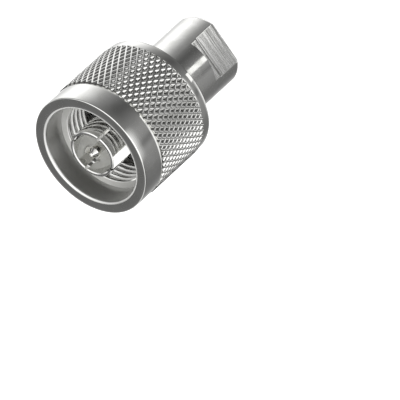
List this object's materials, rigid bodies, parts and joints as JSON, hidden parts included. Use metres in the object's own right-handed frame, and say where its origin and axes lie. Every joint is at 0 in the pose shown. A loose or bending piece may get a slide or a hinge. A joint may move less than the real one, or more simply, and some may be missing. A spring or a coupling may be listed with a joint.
{
  "type": "n type coaxial cable plug",
  "caption": "Round silver coaxial cable plug with a knurled coupling nut, slotted outer contact, centre pin and a flat-sided clamp nut.",
  "frame": {"origin": "centre of the rear face of the clamp nut, on which the plug stands", "axes": "+Z along the turning axis, out of the mouth of the coupling nut; the wrench flats of the clamp nut face +Y and -Y"},
  "size_m": [0.0214, 0.0214, 0.0314],
  "materials": {
    "nut_plating": "bright silver-grey plating on brass, diamond knurl",
    "body_plating": "bright silver-grey plating on brass, turned and milled",
    "contact_plating": "bright silver-grey plating on spring bronze",
    "pin_plating": "bright plating on brass",
    "spring_bronze": "plain spring bronze",
    "insulator": "waxy white fluoroplastic",
    "gasket_rubber": "black rubber"
  },
  "bodies": {
    "plug": {"body": "body_plating", "snap_ring": "spring_bronze", "outer_contact": "contact_plating", "sealing_gasket": "gasket_rubber", "front_insulator": "insulator", "rear_insulator": "insulator", "centre_contact": "pin_plating", "braid_clamp": "body_plating", "cable_gasket": "gasket_rubber", "slip_washer": "body_plating", "clamp_nut": "body_plating"},
    "nut": {"coupling_nut": "nut_plating"}
  },
  "joints": [
    {"name": "nut_spin", "type": "hinge", "parent": "plug", "child": "nut", "pos_m": [0, 0, 0.017], "axis": [0, 0, 1], "continuous": true}
  ]
}
